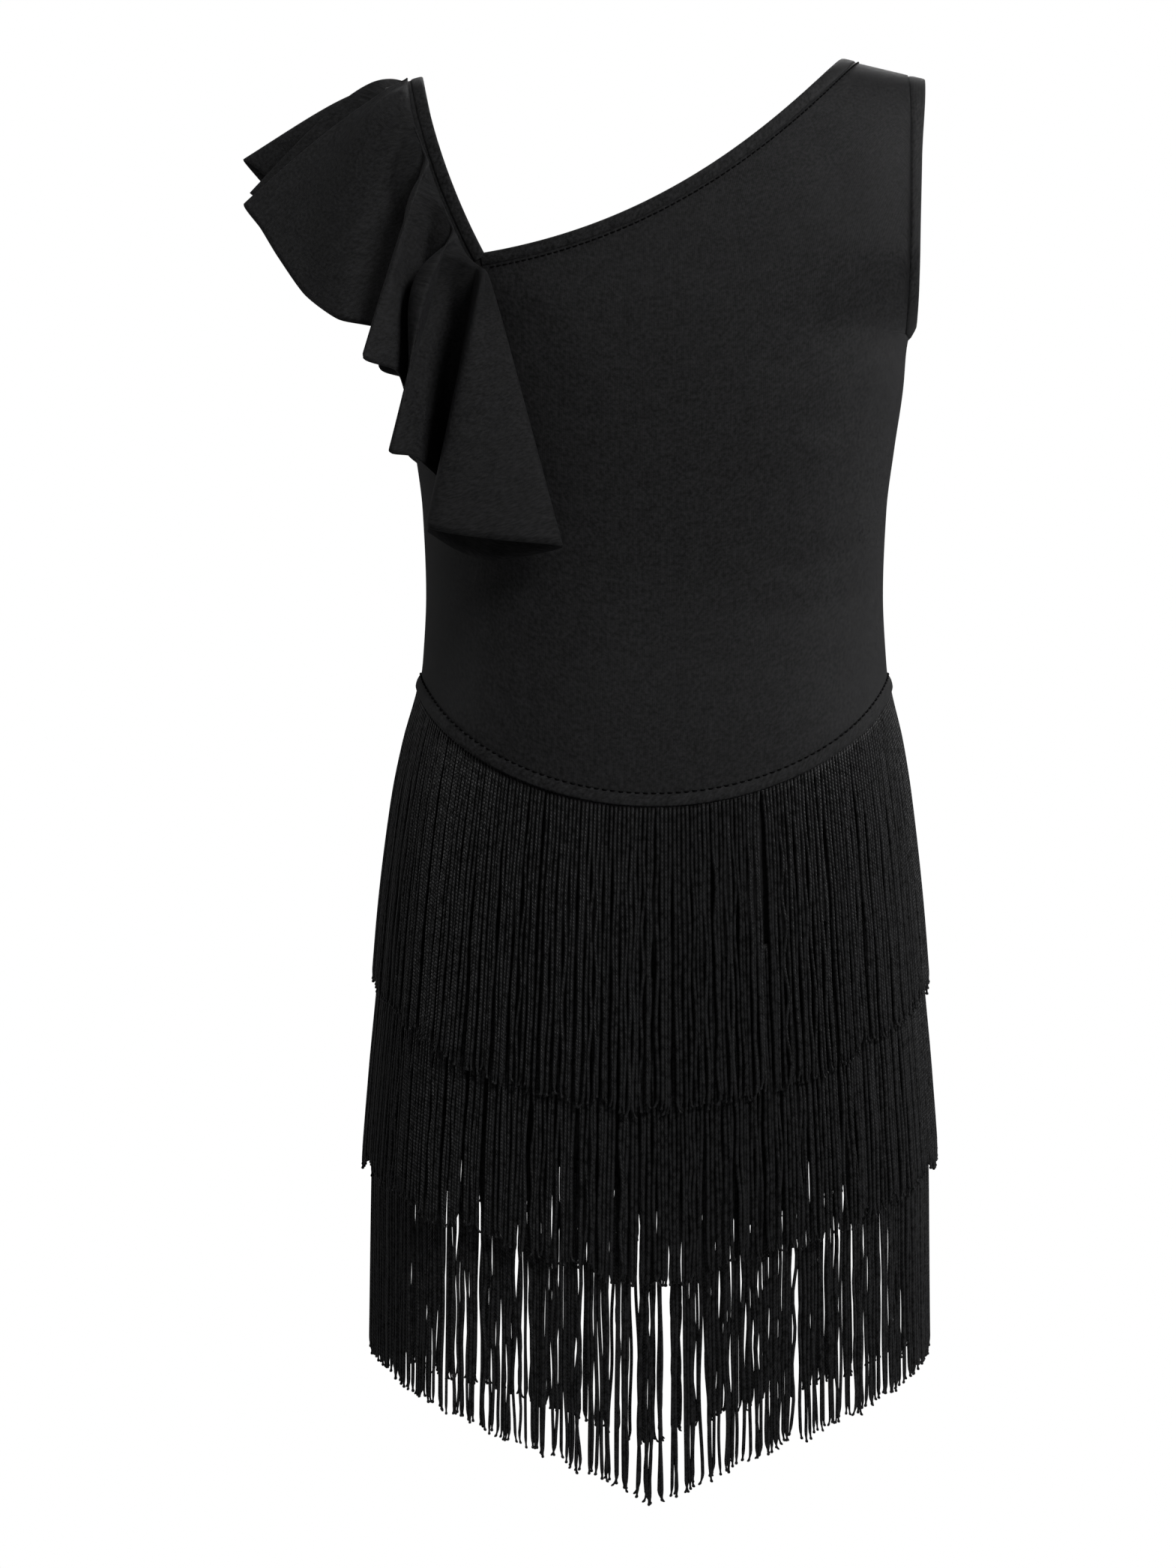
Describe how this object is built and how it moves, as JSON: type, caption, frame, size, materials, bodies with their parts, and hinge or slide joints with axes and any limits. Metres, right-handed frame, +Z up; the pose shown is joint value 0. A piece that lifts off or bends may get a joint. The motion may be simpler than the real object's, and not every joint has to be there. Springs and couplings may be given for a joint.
{
  "type": "dance dress",
  "caption": "Black charleston dance dress with an asymmetric neckline, a flounce at one shoulder and tiers of chainette fringe, in its worn form.",
  "frame": {"origin": "midway between the two shoulders, at the height where the straps rest on them", "axes": "+Z up along the body, the front faces -Y, and the strap with the flounce is on the -X side"},
  "size_m": [0.3356, 0.2055, 0.6812],
  "materials": {
    "jersey": "matte satin stretch jersey",
    "chainette": "knitted rayon cord with a slight sheen"
  },
  "bodies": {
    "root": {"bodice_front": "jersey", "bodice_back": "jersey", "neck_band_front": "jersey", "neck_band_back": "jersey", "strap_band": "jersey", "armhole_binding_bare_side": "jersey", "armhole_binding_flounce_side": "jersey", "shoulder_flounce": "jersey", "hip_band_front": "jersey", "hip_band_back": "jersey", "skirt_front": "jersey", "skirt_back": "jersey", "fringe_top_front": "chainette", "fringe_top_back": "chainette", "fringe_middle_front": "chainette", "fringe_middle_back": "chainette", "fringe_bottom_front": "chainette", "fringe_bottom_back": "chainette"}
  },
  "joints": []
}
